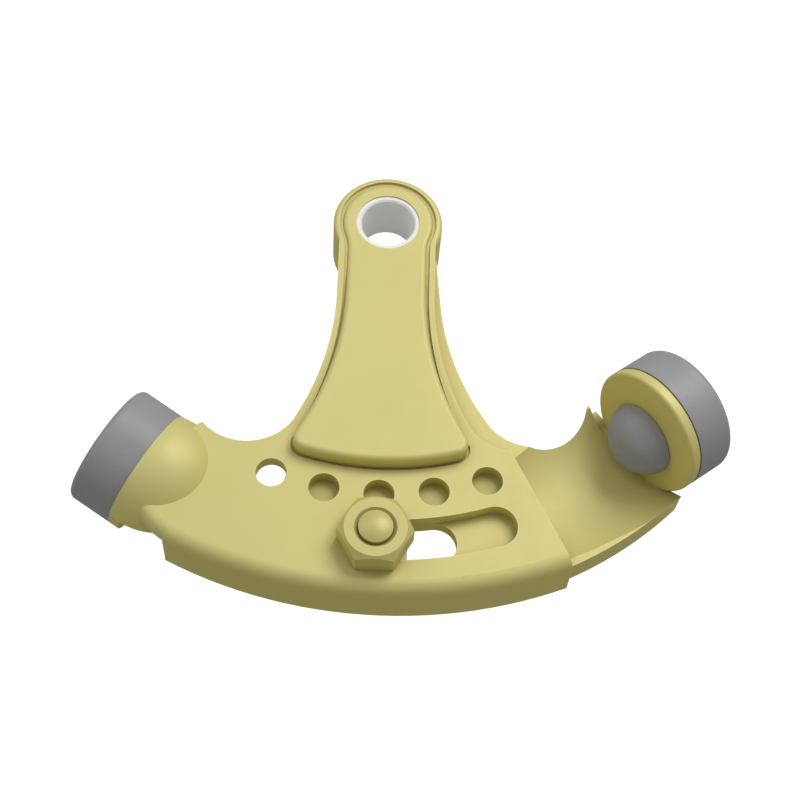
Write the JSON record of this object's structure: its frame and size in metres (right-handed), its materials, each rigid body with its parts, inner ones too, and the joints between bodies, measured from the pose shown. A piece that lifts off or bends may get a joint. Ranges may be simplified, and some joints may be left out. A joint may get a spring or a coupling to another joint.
{
  "type": "hinge pin door stop",
  "caption": "Adjustable door stop of two swivelling arms on a hinge pin, clamped by a bolt in a curved slot, with a rubber bumper on each arm.",
  "frame": {"origin": "on the hinge pin's axis, in the plane where the two arms meet", "axes": "+Z along the hinge pin towards the nut side, -Y along the front arm's centre line, +X towards the back arm's bumper"},
  "size_m": [0.0931, 0.0673, 0.0281],
  "materials": {
    "arm_brass": "satin polished brass",
    "fastener_brass": "satin brass",
    "bumper_rubber": "matte grey rubber",
    "bushing_nylon": "off-white nylon"
  },
  "bodies": {
    "front_arm": {"front_arm": "arm_brass", "front_bumper": "bumper_rubber", "pin_bushing": "bushing_nylon"},
    "back_arm": {"back_arm": "arm_brass", "back_bumper": "bumper_rubber"},
    "clamp_bolt": {"clamp_bolt": "fastener_brass"},
    "clamp_nut": {"clamp_nut": "fastener_brass"}
  },
  "joints": [
    {"name": "arm_adjust", "type": "hinge", "parent": "front_arm", "child": "back_arm", "pos_m": [0, 0, 0], "axis": [0, 0, 1], "range_deg": [0, 27]},
    {"name": "bolt_travel", "type": "hinge", "parent": "front_arm", "child": "clamp_bolt", "pos_m": [0, 0, 0], "axis": [0, 0, 1], "range_deg": [0, 18]},
    {"name": "nut_turn", "type": "hinge", "parent": "clamp_bolt", "child": "clamp_nut", "pos_m": [-0.00036, -0.0513, 0], "axis": [0, 0, 1], "continuous": true}
  ],
  "couplings": [
    {"joint": "bolt_travel", "follows": "arm_adjust", "ratio": 0.66667}
  ]
}
